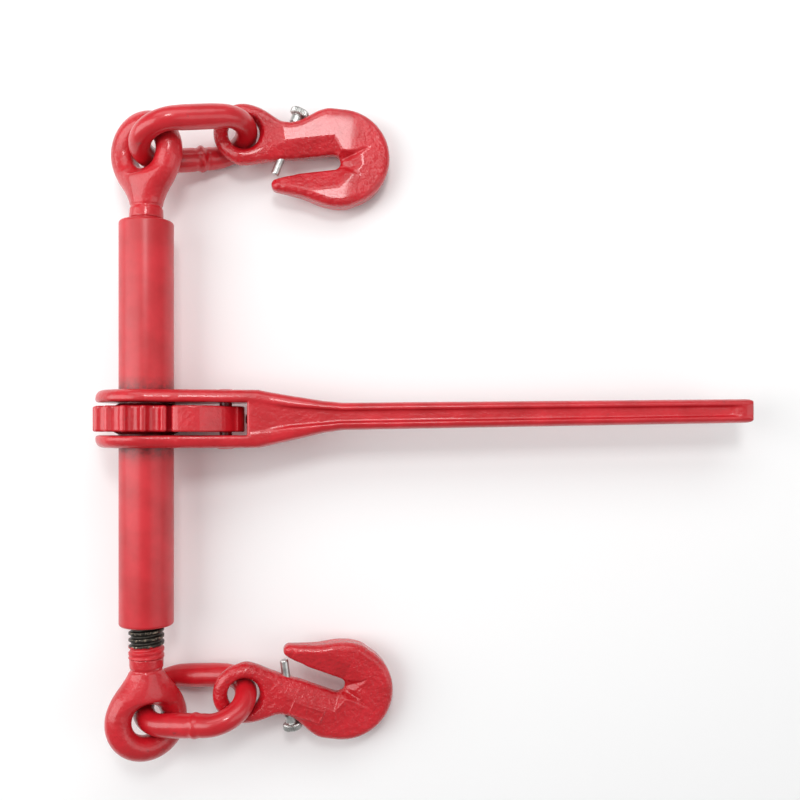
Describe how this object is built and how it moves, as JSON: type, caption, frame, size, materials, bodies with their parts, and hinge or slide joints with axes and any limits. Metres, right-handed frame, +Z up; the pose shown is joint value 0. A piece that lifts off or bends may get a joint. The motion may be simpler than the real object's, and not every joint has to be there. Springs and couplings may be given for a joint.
{
  "type": "load binder",
  "caption": "Ratchet load binder: long barrel with a swinging ratchet handle, an eye bolt in each end, and a link and grab hook with a throat lock on each eye.",
  "frame": {"origin": "centre of the bounding box on the floor that the binder lies on", "axes": "+Y along the barrel towards the end whose screw is fully in, +X out along the handle, +Z up from the floor"},
  "size_m": [0.4132, 0.4181, 0.0649],
  "materials": {
    "red_paint": "semi-gloss enamel over forged and drawn steel",
    "steel_bush": "turned steel, darkened by oil",
    "plain_steel": "plain steel, lightly oiled",
    "spring_steel": "drawn spring wire",
    "zinc_plate": "bright zinc plate",
    "screw_thread": "blackened screw thread with bare crests"
  },
  "bodies": {
    "lower_eye_bolt": {"lower_eye_bolt": "red_paint", "lower_end_screw": "plain_steel"},
    "lower_stop_washer": {"lower_stop_washer": "plain_steel"},
    "barrel": {"barrel_tube": "red_paint", "upper_end_bush": "steel_bush", "lower_end_bush": "steel_bush", "ratchet_gear": "red_paint", "gear_welds": "red_paint"},
    "handle": {"handle": "red_paint", "pawl_pin": "red_paint", "detent_spring": "spring_steel"},
    "pawl": {"pawl": "red_paint"},
    "detent_plunger": {"detent_plunger": "plain_steel"},
    "upper_stop_washer": {"upper_stop_washer": "plain_steel"},
    "upper_eye_bolt": {"upper_eye_bolt": "red_paint", "upper_end_screw": "plain_steel"},
    "upper_link": {"upper_link": "red_paint"},
    "upper_hook": {"upper_hook": "red_paint", "upper_lock_bush": "zinc_plate", "upper_lock_spring": "spring_steel"},
    "upper_lock": {"upper_lock_pin": "zinc_plate", "upper_lock_knob": "zinc_plate"},
    "lower_link": {"lower_link": "red_paint"},
    "lower_hook": {"lower_hook": "red_paint", "lower_lock_bush": "zinc_plate", "lower_lock_spring": "spring_steel"},
    "lower_lock": {"lower_lock_pin": "zinc_plate", "lower_lock_knob": "zinc_plate"}
  },
  "joints": [
    {"name": "barrel_turn", "type": "hinge", "parent": "lower_eye_bolt", "child": "lower_stop_washer", "pos_m": [-0.17428, 0.00598, 0.03259], "axis": [0, 1, 0], "range_deg": [0, 4680]},
    {"name": "barrel_travel", "type": "slide", "parent": "lower_stop_washer", "child": "barrel", "axis": [0, 1, 0], "range_m": [0, 0.05504]},
    {"name": "handle_swing", "type": "hinge", "parent": "barrel", "child": "handle", "pos_m": [-0.17428, 0.00598, 0.03259], "axis": [0, 1, 0], "continuous": true},
    {"name": "pawl_flip", "type": "hinge", "parent": "handle", "child": "pawl", "pos_m": [-0.12437, 0.00598, 0.02959], "axis": [0, 1, 0], "range_deg": [-4.8, 4.8]},
    {"name": "detent_press", "type": "slide", "parent": "handle", "child": "detent_plunger", "axis": [0.9982, 0, -0.0601], "range_m": [0, 0.0015], "stiffness_N_per_m": 1200, "springref_m": -0.004, "deforming": ["detent_spring"]},
    {"name": "upper_screw_travel", "type": "slide", "parent": "barrel", "child": "upper_stop_washer", "axis": [0, 1, 0], "range_m": [0, 0.05504]},
    {"name": "upper_screw_turn", "type": "hinge", "parent": "upper_stop_washer", "child": "upper_eye_bolt", "pos_m": [-0.17428, 0.00598, 0.03259], "axis": [0, 1, 0], "range_deg": [-4680.01, 0]},
    {"name": "upper_link_swing", "type": "hinge", "parent": "upper_eye_bolt", "child": "upper_link", "pos_m": [-0.17428, 0.17379, 0.03259], "axis": [-0.4258, 0, 0.9048], "range_deg": [-30, 95]},
    {"name": "upper_hook_swing", "type": "hinge", "parent": "upper_link", "child": "upper_hook", "pos_m": [-0.11517, 0.18979, 0.01938], "axis": [-0.1104, -0.0157, -0.9938], "range_deg": [-50, 50]},
    {"name": "upper_lock_pull", "type": "slide", "parent": "upper_hook", "child": "upper_lock", "axis": [0.3618, 0.9306, -0.0549], "range_m": [0, 0.012], "stiffness_N_per_m": 600, "springref_m": -0.006, "deforming": ["upper_lock_spring"]},
    {"name": "lower_link_swing", "type": "hinge", "parent": "lower_eye_bolt", "child": "lower_link", "pos_m": [-0.17428, -0.18299, 0.03259], "axis": [0.5592, 0, 0.829], "range_deg": [-95, 0]},
    {"name": "lower_hook_swing", "type": "hinge", "parent": "lower_link", "child": "lower_hook", "pos_m": [-0.11384, -0.16773, 0.02833], "axis": [0.1904, -0.0792, 0.9785], "range_deg": [-50, 50]},
    {"name": "lower_lock_pull", "type": "slide", "parent": "lower_hook", "child": "lower_lock", "axis": [0.1104, -0.9887, -0.1015], "range_m": [0, 0.012], "stiffness_N_per_m": 600, "springref_m": -0.006, "deforming": ["lower_lock_spring"]}
  ],
  "couplings": [
    {"joint": "barrel_travel", "follows": "barrel_turn", "m_per_rad": 0.0006737},
    {"joint": "upper_screw_travel", "follows": "barrel_turn", "m_per_rad": 0.0006737},
    {"joint": "upper_screw_turn", "follows": "barrel_turn", "ratio": -1}
  ]
}
